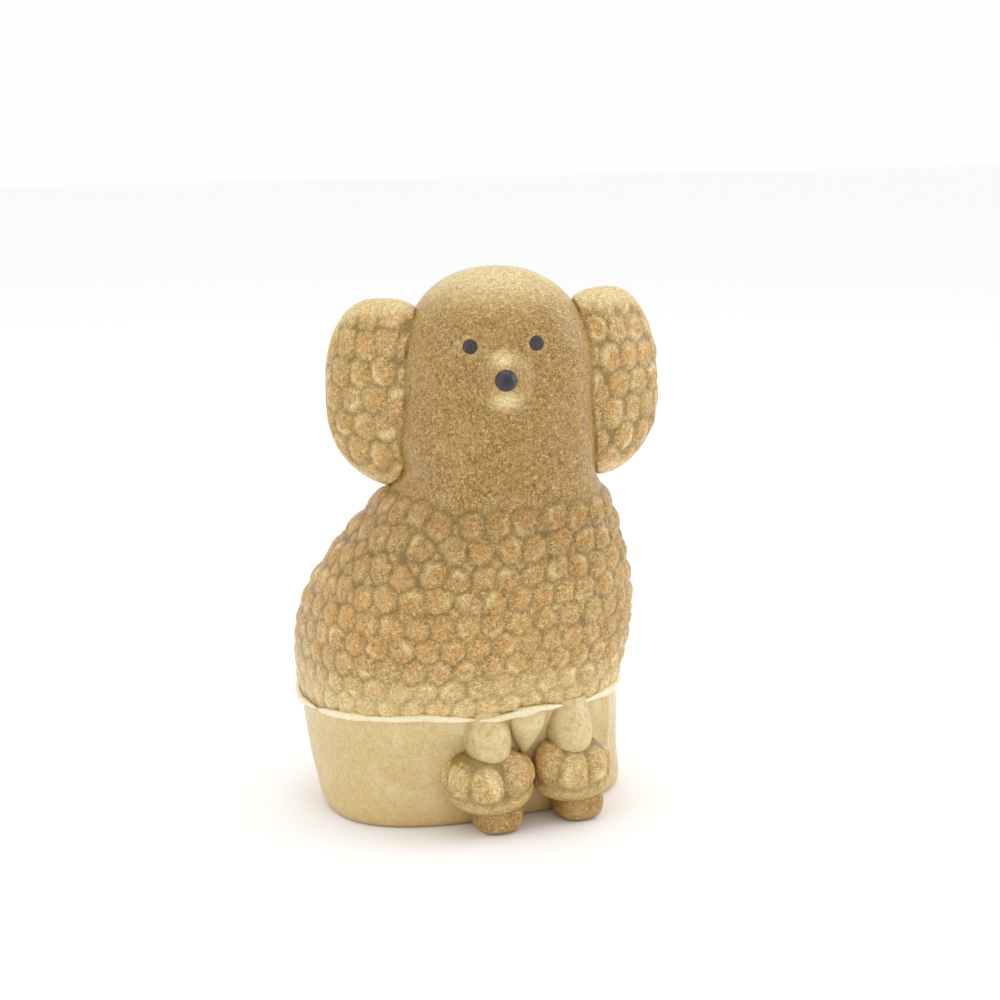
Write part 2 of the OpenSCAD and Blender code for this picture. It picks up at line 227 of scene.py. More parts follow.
# surface(level, t) is any skin, with t from 0 to 1 round it. Each level gets as many curls as its
# length holds, evenly spaced, every other row half a curl further on, and then moved a little at random.
# Curls closer than the pitch then push each other apart along the skin, in a few small steps, so that
# they pack as unevenly as pressed clay. The last row is wider spaced than the first by the share spread.
def placeCurls(surface, levels, pitch, rng, jitter=0.2, pushes=8, spread=0.0):
    allLevels, allT = [], []
    step = abs(levels[1] - levels[0]) if len(levels) > 1 else 1
    for row, level in enumerate(levels):
        t = np.linspace(0, 1, 721)
        ring = surface(np.full_like(t, level), t)
        length = np.concatenate([[0], np.cumsum(np.linalg.norm(np.diff(ring, axis=0), axis=1))])
        wide = pitch * (1 + spread * row / max(1, len(levels) - 1))
        count = max(1, round(length[-1] / wide))
        start = np.interp(0.68, t, length) / length[-1] * count  # rows are staggered from the front
        place = start + np.arange(count) + 0.5 * (row % 2) + rng.uniform(-jitter, jitter, count)
        allT.append(np.interp(place % count / count * length[-1], length, t))
        allLevels.append(level + rng.uniform(-jitter, jitter, count) * step)
    level, t = np.concatenate(allLevels), np.concatenate(allT)
    low, high = min(levels) - 0.1 * step, max(levels) + 0.1 * step
    for _ in range(pushes):
        spot = surface(level, t)
        acrossStep = (surface(level, t + 0.001) - surface(level, t - 0.001)) / 0.002
        upStep = (surface(level + 0.001, t) - surface(level - 0.001, t)) / 0.002
        apart = spot[:, None] - spot[None]
        far = np.linalg.norm(apart, axis=-1) + 1e6 * np.eye(len(spot))
        push = (apart / far[..., None] * np.clip(pitch * 1.02 - far, 0, pitch)[..., None]).sum(1) * 0.25
        t = (t + (push * acrossStep).sum(-1) / (acrossStep**2).sum(-1)) % 1
        level = np.clip(level + (push * upStep).sum(-1) / (upStep**2).sum(-1), low, high)
    return level, t


# Each curl: its middle, its directions across and up in the skin, and its own random size and turn.
def describeCurls(surface, level, t, rng, shrink=0.25):
    middle = surface(level, t)
    across = unit(surface(level, t + 0.002) - surface(level, t - 0.002))
    up = surface(level + 0.01, t) - surface(level - 0.01, t)
    up = unit(up - across * (up * across).sum(-1, keepdims=True))
    count = len(level)
    return {"middle": middle, "across": across, "up": up, "shrink": rng.uniform(-shrink, shrink, count),
            "phase": rng.uniform(0, 2 * np.pi, count), "tilt": rng.uniform(0, 2 * np.pi, count),
            "warm": rng.uniform(0.15, 1, count), "light": rng.uniform(0, 1, count),
            "high": rng.uniform(0.8, 1.15, count), "small": np.zeros(count)}


# Extra curls in the widest gaps between the curls: random places, kept where the nearest curl is far
# and no other extra curl is near. In a narrow gap it is only a small pellet.
def fillGaps(curls, surface, lowest, highest, pitch, most, rng):
    level, t = rng.uniform(lowest, highest, 4000), rng.uniform(0, 1, 4000)
    spot = surface(level, t)
    near = np.sqrt(((spot[:, None] - curls["middle"][None]) ** 2).sum(-1)).min(1)
    kept = []
    for i in np.argsort(-near):
        if near[i] < 0.56 * pitch or len(kept) >= most:
            break
        if all(np.linalg.norm(spot[i] - spot[j]) > 0.95 * pitch for j in kept):
            kept.append(i)
    if not kept:
        return curls
    extra = describeCurls(surface, level[kept], t[kept], rng)
    extra["shrink"] = 0.75 * np.maximum(pitch - near[kept], 0)
    extra["small"] = smoothStep(extra["shrink"], 1.0, 1.6)
    extra["high"] = extra["high"] * (1 - 0.45 * extra["small"])
    return {key: np.concatenate([curls[key], extra[key]]) for key in curls}


# For each point the nearest curl and how far the border with the next one is: half the difference of
# the two distances, each lengthened by that curl's shrink.
def nearestCurl(points, curls, upright):
    flat = (points.reshape(-1, 3) * [1, 1, upright]).astype(np.float32)
    middle = (curls["middle"] * [1, 1, upright]).astype(np.float32)
    own = np.zeros(len(flat), int)
    border = np.zeros(len(flat), np.float32)
    for start in range(0, len(flat), 16384):  # in parts, to spare memory
        part = slice(start, start + 16384)
        gap = flat[part, None] - middle[None]
        far = np.sqrt(np.einsum("ijk,ijk->ij", gap, gap)) + curls["shrink"].astype(np.float32)
        two = np.argpartition(far, 1, axis=1)[:, :2]
        value = np.take_along_axis(far, two, 1)
        swap = value[:, 0] > value[:, 1]
        own[part] = np.where(swap, two[:, 1], two[:, 0])
        border[part] = np.abs(value[:, 1] - value[:, 0]) / 2
    return own.reshape(points.shape[:-1]), border.reshape(points.shape[:-1]).astype(float)


# The relief of the curls: a pillow that rises from the crease at its border to a round top, leans a
# little to one side and has a curved dent near its middle. Also gives the marks that colour it.
def curlRelief(points, curls, look):
    upright = look["upright"]  # below 1 it makes the curls taller than wide
    own, border = nearestCurl(points, curls, upright)
    away = points - curls["middle"][own]
    u, v = (away * curls["across"][own]).sum(-1), (away * curls["up"][own]).sum(-1) * upright
    rho = np.hypot(u, v)
    small = curls["small"][own]
    ragged = 0.2 * clayWaves(points, 1.9, look["seed"] + 5)
    reach = look["reach"] - curls["shrink"][own]
    inset = np.minimum(border, (reach - rho) * 0.9) + ragged
    rise = np.clip(inset / look["shoulder"], 0, 1)
    pillow = (1 - (1 - rise) ** 2) ** look["round"] * (0.5 + 0.5 * np.clip(1 - (rho / reach) ** 2, 0, 1))
    turn = (np.arctan2(v, u) - curls["phase"][own]) % (2 * np.pi)
    arcRadius = look["dentRadius"] * (0.7 + 0.13 * turn)
    dent = (bell(rho - arcRadius, look["dentWidth"]) * smoothStep(turn, 0, 0.6)
            * (1 - smoothStep(turn, 3.4, 4.4)))
    dent = dent * (1 - small) * smoothStep(rise, 0.5, 0.9)
    lean = np.cos(np.arctan2(v, u) - curls["tilt"][own]) * rho
    height = curls["high"][own] * look["height"] * pillow * (1 + 0.09 * lean)
    height = height - look["dentDepth"] * dent + 0.06 * clayWaves(points, 2.3, look["seed"]) * pillow
    line = 1 - smoothStep(inset, -0.3, look["creaseWidth"])
    crease = 0.75 * line + 0.35 * (1 - smoothStep(inset, 0, 2.6 * look["creaseWidth"]))
    warm = bell(rho, look["warmRadius"]) * (0.45 + 0.55 * curls["warm"][own]) + 0.6 * dent
    rim = smoothStep(rise, 0.2, 0.6) * (1 - smoothStep(rise, 0.8, 1.0)) * curls["light"][own]
    pellet = 0.9 * small * curls["light"][own] ** 2 * smoothStep(rise, 0.1, 0.5)
    rim = rim * smoothStep(-lean, 0.0, 1.8) + pellet
    return {"height": height, "crease": crease, "warm": warm * (1 - small), "rim": rim, "own": own}


# The linear colour of a shader for one given as 0 to 255 per channel.
def linear(red, green, blue):
    value = np.array([red, green, blue]) / 255
    value = np.where(value <= 0.04045, value / 12.92, ((value + 0.055) / 1.055) ** 2.4)
    return (*value.tolist(), 1)


# Wires nodes together: each helper adds one node and returns its output.
class GlazeGraph:
    def __init__(self, name):
        self.material = bpy.data.materials.new(name)
        self.material.use_nodes = True
        self.nodes, self.links = self.material.node_tree.nodes, self.material.node_tree.links
        self.shader = self.nodes["Principled BSDF"]
        self.place = self.nodes.new("ShaderNodeTexCoord").outputs["Object"]

    def put(self, socket, value):
        if isinstance(value, bpy.types.NodeSocket):
            self.links.new(value, socket)
        else:
            socket.default_value = value

    def noise(self, scale, detail=2.0, rough=0.5, twist=0.0, place=None):
        node = self.nodes.new("ShaderNodeTexNoise")
        self.put(node.inputs["Vector"], place or self.place)
        node.inputs["Scale"].default_value = scale
        node.inputs["Detail"].default_value = detail
        node.inputs["Roughness"].default_value = rough
        node.inputs["Distortion"].default_value = twist
        return node.outputs["Fac"]

    def stretched(self, ratio, turn):
        node = self.nodes.new("ShaderNodeMapping")
        self.put(node.inputs["Vector"], self.place)
        node.inputs["Scale"].default_value = ratio
        node.inputs["Rotation"].default_value = turn
        return node.outputs["Vector"]

    def ramp(self, value, low, high, floor=0.0, ceiling=1.0):
        node = self.nodes.new("ShaderNodeMapRange")
        node.interpolation_type = "SMOOTHSTEP"
        self.put(node.inputs["Value"], value)
        for key, number in (("From Min", low), ("From Max", high), ("To Min", floor), ("To Max", ceiling)):
            node.inputs[key].default_value = number
        return node.outputs["Result"]

    def math(self, kind, first, second):
        node = self.nodes.new("ShaderNodeMath")
        node.operation = kind
        self.put(node.inputs[0], first)
        self.put(node.inputs[1], second)
        return node.outputs[0]

    def mark(self, name):
        node = self.nodes.new("ShaderNodeAttribute")
        node.attribute_name = name
        return node.outputs["Fac"]

    def mix(self, amount, first, second, kind="MIX"):
        node = self.nodes.new("ShaderNodeMix")
        node.data_type = "RGBA"
        node.blend_type = kind
        self.put(node.inputs["Factor"], amount)
        self.put(node.inputs["A"], first)
        self.put(node.inputs["B"], second)
        return node.outputs["Result"]

    def bump(self, height, strength, distance, normal=None):
        node = self.nodes.new("ShaderNodeBump")
        node.inputs["Strength"].default_value = strength
        node.inputs["Distance"].default_value = distance
        self.put(node.inputs["Height"], height)
        if normal:
            self.links.new(normal, node.inputs["Normal"])
        return node.outputs["Normal"]


# A runny stoneware glaze. Flecks of a dark and a pale tone lie on the ground colour, large patches turn
# warmer, and the marks on the mesh add the warm middles and the pale rims, multiply the tone by brown on the
# neck, partly painted shade, and add the crease colour. The pale rims also carry painted light on the muzzle
# and the crown.
def mixGlaze(name, look):
    g = GlazeGraph(name)
    fibreA = g.noise(look["fleck"], 3, 0.62, 1.6, g.stretched((1, 1, 0.6), (0.5, 0.3, 0.2)))
    fibreB = g.noise(look["fleck"] * 1.3, 2, 0.6, 1.2, g.stretched((0.6, 1, 1), (0.1, 0.9, 1.1)))
    grain = g.noise(look["fleck"] * 2.6, 1, 0.5)
    cloud = g.noise(look["cloud"], 2, 0.5, 0.3)
    drift = g.noise(look["cloud"] * 3.1, 2, 0.5, 0.2)
    tone = g.mix(g.ramp(fibreA, 0.36, 0.62), linear(*look["dark"]), linear(*look["ground"]))
    tone = g.mix(g.ramp(fibreB, 0.5, 0.68, 0, look["paleFleck"]), tone, linear(*look["pale"]))
    tone = g.mix(g.ramp(grain, 0.62, 0.74, 0, look["spot"]), tone, linear(*look["spotTone"]))
    tone = g.mix(g.ramp(cloud, 0.45, 0.68, 0, look["patch"]), tone, linear(*look["warm"]))
    tone = g.mix(g.ramp(drift, 0.5, 0.7, 0, look["wash"]), tone, linear(*look["pale"]))
    streaks = g.ramp(fibreA, 0.42, 0.58, 0.25 * look["warmth"], look["warmth"])
    tone = g.mix(g.math("MULTIPLY", g.mark("warm"), streaks), tone, linear(*look["warm"]))
    broken = g.ramp(fibreB, 0.36, 0.6, 0.35 * look["rimPale"], look["rimPale"])
    tone = g.mix(g.math("MULTIPLY", g.mark("rim"), broken), tone, linear(*look["pale"]))
    # Brown on the neck and face, partly painted shade.
    tone = g.mix(g.mark("brownAndShade"), tone, linear(*look["brownAndShade"]), "MULTIPLY")
    tone = g.mix(g.math("MULTIPLY", g.mark("crease"), look["creaseDepth"]), tone, linear(*look["crease"]))
    g.put(g.shader.inputs["Base Color"], tone)
    g.put(g.shader.inputs["Roughness"], g.ramp(drift, 0.3, 0.7, look["gloss"] - 0.05, look["gloss"] + 0.07))
    normal = g.bump(drift, 0.35, 0.00025)
    g.put(g.shader.inputs["Normal"], g.bump(fibreA, look["bump"], 0.00012, normal))
    return g.material


coatTones = {
    "ground": (195, 159, 88), "dark": (138, 99, 39), "pale": (236, 218, 160), "warm": (206, 144, 74),
    "crease": (116, 92, 34), "spotTone": (128, 84, 36), "brownAndShade": (226, 218, 202), "fleck": 1400, "cloud": 50,
    "paleFleck": 0.7, "spot": 0.5, "patch": 0.12, "wash": 0.12, "warmth": 0.5, "rimPale": 0.8,
    "creaseDepth": 0.68, "gloss": 0.36, "bump": 0.25,
}
curlGlaze = mixGlaze("curlGlaze", coatTones)
smoothGlaze = mixGlaze("smoothGlaze", {
    **coatTones, "ground": (210, 188, 133), "dark": (196, 168, 110), "pale": (226, 212, 166),
    "warm": (192, 148, 82), "patch": 0.12, "paleFleck": 0.35, "wash": 0.3, "spot": 0.16, "fleck": 1100,
    "creaseDepth": 0.6, "gloss": 0.32, "bump": 0.12})
slipGlaze = mixGlaze("slipGlaze", {
    **coatTones, "ground": (238, 226, 188), "dark": (226, 208, 160), "pale": (248, 240, 212),
    "warm": (222, 194, 140), "patch": 0.1, "paleFleck": 0.3, "spot": 0.08, "gloss": 0.26, "bump": 0.08})
darkPaint = mixGlaze("darkPaint", {
    **coatTones, "ground": (58, 52, 58), "dark": (44, 39, 46), "pale": (84, 76, 88), "warm": (66, 52, 60),
    "crease": (26, 23, 28), "spotTone": (34, 30, 36), "patch": 0.2, "paleFleck": 0.35, "spot": 0.3,
    "wash": 0.2, "creaseDepth": 0.8, "gloss": 0.42, "bump": 0.15})
print("glazes mixed")

# The base: floor and lower wall.
baseLook = {
    "ventRadius": 4, "floor": 4.5, "columns": 288, "rows": 80, "waves": 0.14, "waveLength": 16,
    "foldAt": 312, "foldWidth": 3.2, "foldHeight": 0.7,
}
# Height of the coat's lower edge at each angle round the body, in degrees. It wanders, as if cut by hand.
edgeLook = {
    "angle": [0, 90, 150, 171, 201, 240, 263, 274, 294, 314],
    "height": [27.5, 28, 26.5, 25, 27, 28.5, 27, 28.5, 27.5, 28],
}


def coatEdge(angle):
    degrees = np.degrees(angle) % 360
    return np.interp(degrees, edgeLook["angle"], edgeLook["height"], period=360)


# Marks of the smooth glaze on the base: warmer towards the floor and under the legs, paler under the coat.
def baseMarks(points):
    height = points[..., 2]
    legs = bell(points[..., 0] - 2, 17) * bell(points[..., 1] + 30, 12) * smoothStep(height, 14, 3)
    warm = 0.4 * smoothStep(height, 16, 2) + 0.5 * smoothStep(height, 4, 0) + 0.8 * legs
    return {"warm": warm, "rim": 0.35 * smoothStep(height, 18, 27), "crease": 0.1 * legs}


# How brown the speckled glaze is, partly its own browner tone and partly painted shade: most on the throat
# and the face, more on the front, least on the crown and low on the coat, where more light falls.
def neckBrownAndShade(points):
    height = points[..., 2]
    front = smoothStep(-points[..., 1] - 0.4 * points[..., 0], 0, 30)
    return smoothStep(height, 46, 80) * (1 - 0.8 * smoothStep(height, 116, 126)) * (0.45 + 0.55 * front)


# The floor follows a closed path round its own section: down the vent, out along the underside, up the
# outside and back along the top. Each path point is a mix of the vent's circle and the body's outline.
def makeFloor():
    angle = np.linspace(0, 2 * np.pi, baseLook["columns"], endpoint=False)
    top = baseLook["floor"]
    path = np.array([[0, top], [0, 2.5], [0, 0.5], [0.012, 0.05], [0.25, 0], [0.6, 0], [0.9, 0], [0.985, 0],
                     [1, 0.12], [1, 0.5], [1, 1], [1, 1.8], [1, 3], [1, top - 0.05], [1, top], [0.9, top],
                     [0.5, top]])
    share, z = path[:, :1], path[:, 1:]
    circle = stack(baseLook["ventRadius"] * np.cos(angle), baseLook["ventRadius"] * np.sin(angle), z)
    outline = bodySkin(z, angle[None], 0)
    points = circle * (1 - share[..., None]) + outline * share[..., None]
    points[..., 2] = z
    makePiece("floorPlate", points, smoothGlaze, ["floor_plate"], rowsWrap=True,
              marks=baseMarks(points))


# The lower wall: its outside from the floor up to the coat, then its inside back down. The outside is a
# little uneven, with one upright fold beside the left foreleg.
def makeLowerWall():
    angle = np.linspace(0, 2 * np.pi, baseLook["columns"], endpoint=False)[None]
    share = holdEnds(np.linspace(0, 1, baseLook["rows"]))[:, None]
    top = coatEdge(angle)
    z = baseLook["floor"] + (top - baseLook["floor"]) * share
    outside = bodySkin(z, angle, 0)
    fade = smoothStep(share, 0, 0.15) * (1 - smoothStep(share, 0.9, 1))
    fold = baseLook["foldHeight"] * bell(np.degrees(angle) - baseLook["foldAt"], baseLook["foldWidth"])
    height = (baseLook["waves"] * clayWaves(outside, baseLook["waveLength"], 3) + fold) * fade
    outside = outside + gridNormals(outside) * height[..., None]
    inside = bodySkin(z[::-27], angle, -bodyShape["wall"])  # a few rows are enough inside
    points = np.concatenate([outside, inside])
    makePiece("lowerWall", points, smoothGlaze, ["lower_body"], rowsWrap=True,
              marks=baseMarks(points))


makeFloor()
makeLowerWall()

# The coat. From height on, the values shape one curl, and the ears, cuffs and tail start from them too.
coatLook = {
    "bottom": 28, "top": 79.5, "columns": 600, "outerRows": 150, "innerRows": 5, "rows": 9, "firstRow": 30.3,
    "rowStep": 4.4, "rowGrowth": 0.095, "rowRise": 2.4, "chest": 0.72, "chestWidth": 0.14, "pitch": 5.6,
    "spread": 0.14, "jitter": 0.26, "pushes": 14, "extraCurls": 200, "height": 0.7, "shoulder": 2.3,
    "round": 0.8, "reach": 3.1, "upright": 1.0, "creaseWidth": 0.38, "dentRadius": 0.85, "dentWidth": 0.35,
    "dentDepth": 0.1, "warmRadius": 2.1, "seed": 11,
}


# The coat: curls on the body's skin between its lower edge and the neck, then the inside of the wall.
# The rows stand further apart the higher they are, and the upper ones climb from the chest to the back.
def makeCoat():
    look = coatLook
    rng = np.random.default_rng(look["seed"])
    row = np.arange(look["rows"])
    levels = look["firstRow"] + look["rowStep"] * row + look["rowGrowth"] * row**2

    def skin(level, t):
        fromChest = (t - look["chest"] + 0.5) % 1 - 0.5
        climb = look["rowRise"] * (1 - bell(fromChest, look["chestWidth"])) * smoothStep(level, 50, 72)
        return bodySkin(level + climb, 2 * np.pi * t, 0)

    level, t = placeCurls(skin, levels, look["pitch"], rng, look["jitter"], look["pushes"], look["spread"])
    curls = describeCurls(skin, level, t, rng)
    upper = smoothStep(level, 40, 70)
    curls["shrink"] = 0.8 * curls["shrink"] - 0.55 * upper  # the upper curls are larger and stand out more
    curls["high"] = curls["high"] * (1 + 0.35 * upper)
    curls = fillGaps(curls, skin, levels[0], levels[-1], look["pitch"], look["extraCurls"], rng)
    angle = np.linspace(0, 2 * np.pi, look["columns"], endpoint=False)[None]
    share = holdEnds(np.linspace(0, 1, look["outerRows"]), 0.001)[:, None]
    bottom, top = coatEdge(angle), look["top"]
    z = bottom + (top - bottom) * share
    base = bodySkin(z, angle, 0)
    relief = curlRelief(base, curls, look)
    away = np.linalg.norm(base - curls["middle"][relief["own"]], axis=-1)
    height = (relief["height"] * smoothStep(z, bottom - 0.5, bottom + 1.5)
              * (1 - smoothStep(z, top - 1.5, top)))
    outside = base + gridNormals(base) * height[..., None]
    innerZ = np.linspace(top, look["bottom"], look["innerRows"])[:, None] + 0 * angle
    points = np.concatenate([outside, bodySkin(innerZ, angle, -bodyShape["wall"])])
    free = smoothStep(z, levels[-1] - 1, levels[-1] + 1)  # above the last row only the tops are outlined
    crease = (relief["crease"] * (1 - free * smoothStep(away, 3.4, 4.6))
              * (1 + 0.3 * smoothStep(z, 50, 70)))
    low = smoothStep(z, 44, 29)  # towards the lower edge the coat is paler and its creases fainter

    def pad(value):  # the same marks on the inside of the wall, where they don't matter
        return np.concatenate([value, np.repeat(value[-1:], look["innerRows"], 0)])

    print("curls on the coat:", len(curls["shrink"]))
    makePiece("curlCoat", points, curlGlaze, ["coat"], rowsWrap=True,
              marks={"crease": pad(crease * (1 - 0.35 * low)), "warm": pad(relief["warm"]),
                     "rim": pad(relief["rim"] + 0.75 * low**1.5), "brownAndShade": pad(neckBrownAndShade(base))})


makeCoat()

# The bead of slip along the coat: each run goes from one angle to another, in degrees.
beadLook = {
    "runs": [[-101, -77], [-69, 28], [32, 118], [121, 183], [185, 258]], "rowsPerDegree": 2.2,
    "radius": 0.85, "columns": 20, "stand": 0.45, "front": -88, "frontWidth": 14, "frontStand": 1.1,
    "taper": 7,
}


# A run of the bead: a tube along the coat's lower edge, tapered at its ends and swollen where the slip
# gathered. Its back is pressed on the body. The first run stands for the whole bead of the CAD model.
def makeBead():
    look = beadLook
    around = np.linspace(0, 2 * np.pi, look["columns"], endpoint=False)[None]
    for i, (start, end) in enumerate(look["runs"]):
        share = np.linspace(0, 1, int((end - start) * look["rowsPerDegree"]))[:, None]
        angle = np.radians(start + (end - start) * share)
        nearFront = bell(np.degrees(angle) - look["front"], look["frontWidth"])
        stand = look["stand"] + look["frontStand"] * nearFront
        spine = bodySkin(coatEdge(angle), angle, stand)
        ahead = bodySkin(coatEdge(angle + 0.01), angle + 0.01, stand)
        along = unit(ahead - spine)
        up = np.broadcast_to([0.0, 0, 1], along.shape)
        outward = unit(np.cross(along, up))
        swell = 1 + 0.22 * clayWaves(spine, 7, 40 + i) + 0.12 * clayWaves(spine, 2.5, 60 + i)
        taper = np.clip(np.minimum(share, 1 - share) * (end - start) / look["taper"], 0.02, 1) ** 0.5
        radius = look["radius"] * swell * taper
        points = (spine + outward * (radius * np.cos(around))[..., None]
                  + up * (radius * 0.95 * np.sin(around))[..., None])
        stands = ["coat_edge_bead"] if i == 0 else []
        makePiece("slipBead%d" % (i + 1), points, slipGlaze, stands,
                  marks={"warm": 0, "rim": 0.3, "crease": 0})


makeBead()

# The head and the face on it.
headLook = {"columns": 300, "domeRows": 60, "neckRows": 70, "waves": 0.1, "waveLength": 14}
faceLook = {
    "muzzleAt": (-0.2, -1.0), "muzzleRadius": (6.9, 7.7), "muzzleHeight": 4.0, "muzzlePower": 1.55,
    "muzzleGrow": 1.04,
    "noseAt": (-0.2, 0.0), "noseRadius": (2.5, 2.35), "noseHeight": 1.25,
    "eyeAcross": 7.2, "eyeUp": 7.1, "eyeRadius": 1.62, "eyeHeight": 0.35,
}


# The head and neck are one shell: from the crown down the outside to the neck, then up the inside.
def makeHead():
    angle = np.linspace(0, 2 * np.pi, headLook["columns"], endpoint=False)[None]
    start, dome = bodyShape["domeStart"], bodyShape["domeHeight"]
    latitude = np.radians(np.linspace(89, 0, headLook["domeRows"]))[:, None]
    neckShare = holdEnds(np.linspace(0, 1, headLook["neckRows"]))[2:, None]  # the dome has the first row
    neck = start + (coatLook["top"] - start) * neckShare
    z = np.concatenate([start + dome * np.sin(latitude), neck])
    outside = bodySkin(z, angle, 0)
    wave = headLook["waves"] * clayWaves(outside, headLook["waveLength"], 8) * smoothStep(z, 80, 88)
    outside = outside - gridNormals(outside) * wave[..., None]
    wall = bodyShape["wall"]
    innerLatitude = np.radians(np.linspace(0, 88, 12))[:, None]
    innerZ = np.concatenate([np.linspace(coatLook["top"], start, 8)[:-1, None],
                             start + (dome - wall) * np.sin(innerLatitude)])
    points = np.concatenate([outside, bodySkin(innerZ, angle, -wall)])
    height = points[..., 2]
    # The crown is paler, partly from its thinner glaze and partly as painted light from above.
    rim = 0.95 * smoothStep(height, 114, 126)
    for side in (-1, 1):  # a faint pale ring round each eye
        eye = faceSkin(side * faceLook["eyeAcross"], faceLook["eyeUp"], 0.0)
        gap = np.linalg.norm(points - eye, axis=-1)
        rim = rim + 0.5 * bell(gap - 2.1, 0.45)
    makePiece("headDome", points, curlGlaze, ["head"],
              marks={"crease": 0, "warm": 0.1 * smoothStep(height, 108, 88), "rim": rim,
                     "brownAndShade": neckBrownAndShade(points)})


# How far the muzzle stands off the face: one less the square of the reach from its middle, to a power.
def muzzleOut(across, up):
    look = faceLook
    reach = np.hypot((across - look["muzzleAt"][0]) / look["muzzleRadius"][0],
                     (up - look["muzzleAt"][1]) / look["muzzleRadius"][1])
    return look["muzzleHeight"] * np.clip(1 - reach**2, 0, 1) ** look["muzzlePower"]


# A cap on the face: rings from its middle out to its edge, then back under it to its middle.
def faceCap(at, radius, rings, columns, outOf, under):
    turn = np.linspace(0, 2 * np.pi, columns, endpoint=False)[None]
    reach = np.concatenate([np.linspace(0.02, 1, rings), np.linspace(1, 0.05, 6)[1:]])[:, None]
    across, up = at[0] + radius[0] * reach * np.cos(turn), at[1] + radius[1] * reach * np.sin(turn)
    top = np.arange(len(reach))[:, None] < rings
    out = np.where(top, outOf(across, up, reach), under)
    return faceSkin(across, up, out), across, up


# The muzzle, with painted highlights above and below the nose and a warm ring at its sides, then nose and
# eyes.
def makeFace():
    look = faceLook
    # The muzzle's thin edge sinks into the face.
    wider = [radius * look["muzzleGrow"] for radius in look["muzzleRadius"]]
    muzzleTop = lambda a, b, r: muzzleOut(a, b) + 0.05 - 0.25 * smoothStep(r, 0.93, 1)
    points, across, up = faceCap(look["muzzleAt"], wider, 50, 120, muzzleTop, -0.8)
    # Painted highlights above and below the nose, put on the pale rim mark, with less brown under them.
    above = bell(across + 0.4, 2.6) * bell(up - 4.4, 2.0)
    below = bell(across, 3.2) * bell(up + 4.6, 2.2)
    ring = bell(np.hypot(across, up * 0.9) - 3.6, 1.3)
    makePiece("muzzleSwelling", points, curlGlaze, ["muzzle"],
              marks={"crease": 0, "warm": 0.5 * ring, "rim": np.clip(1.3 * above + 1.6 * below, 0, 1.5),
                     "brownAndShade": neckBrownAndShade(points) * (1 - 0.8 * np.clip(above + below, 0, 1))})
    button = lambda r: look["noseHeight"] * (1 - np.clip(r, 0, 1) ** 2.6) ** 0.6
    noseTop = lambda a, b, r: muzzleOut(a, b) + button(r) - 0.1
    points, across, up = faceCap(look["noseAt"], look["noseRadius"], 24, 64, noseTop, 2.2)
    makePiece("noseButton", points, darkPaint, ["nose"],
              marks={"crease": bell(np.hypot(across, up), 1.3), "warm": 0, "rim": 0})
    eyeTop = lambda a, b, r: look["eyeHeight"] * (1 - np.clip(r, 0, 1) ** 2) ** 0.5 + 0.02
    for side, node in ((-1, "right_eye"), (1, "left_eye")):
        at = (side * look["eyeAcross"], look["eyeUp"])
        points, across, up = faceCap(at, (look["eyeRadius"], look["eyeRadius"]), 16, 48, eyeTop, -0.5)
        makePiece("rightEye" if side < 0 else "leftEye", points, darkPaint, [node],
                  marks={"crease": 0.3, "warm": 0, "rim": 0})


makeHead()
makeFace()

# The ears, in the head's own frame.
earLook = {
    "height": 42, "width": 28, "thick": 13, "root": (16, -5.5), "sweep": 42, "seat": 2, "middleZ": -5,
    "flare": 1.8, "tuck": 4.5, "power": 2.15, "rootPower": 3.2, "corner": 0.85, "rows": 130, "columns": 240,
    "pitch": 6.7, "jitter": 0.2, "pushes": 12, "rim": (0.79, 0.92), "rimHeight": 0.3,
    "curl": {"height": 0.75, "reach": 3.6},
}


# An ear's skin: rings from its lower end (u = -1) to its top (u = 1), each a squared ellipse that lies
# along the ear's own line, which sweeps back from the head. The top inner corner is filled out.
def earSkin(side, u, t):
    look = earLook
    turn = side * 2 * np.pi * t
    inner = smoothStep(-np.cos(turn), -0.2, 0.7) * (u > 0)
    power = look["power"] + (look["rootPower"] - look["power"]) * inner
    close = np.clip(1 - np.abs(u) ** power, 0, 1) ** (1 / power)
    low = np.maximum(0, -u)
    half = (look["width"] + look["seat"]) / 2
    middle = half - look["seat"] + look["flare"] * low - look["tuck"] * low**4
    along = middle + half * close * signedPower(np.cos(turn), look["corner"])
    thick = look["thick"] / 2 * close * signedPower(np.sin(turn), look["corner"])
    along, thick = turnXY(along, thick, np.radians(look["sweep"]))
    up = look["middleZ"] + u * look["height"] / 2
    return offBody(fromHead(side * (look["root"][0] + along), look["root"][1] + thick, up))


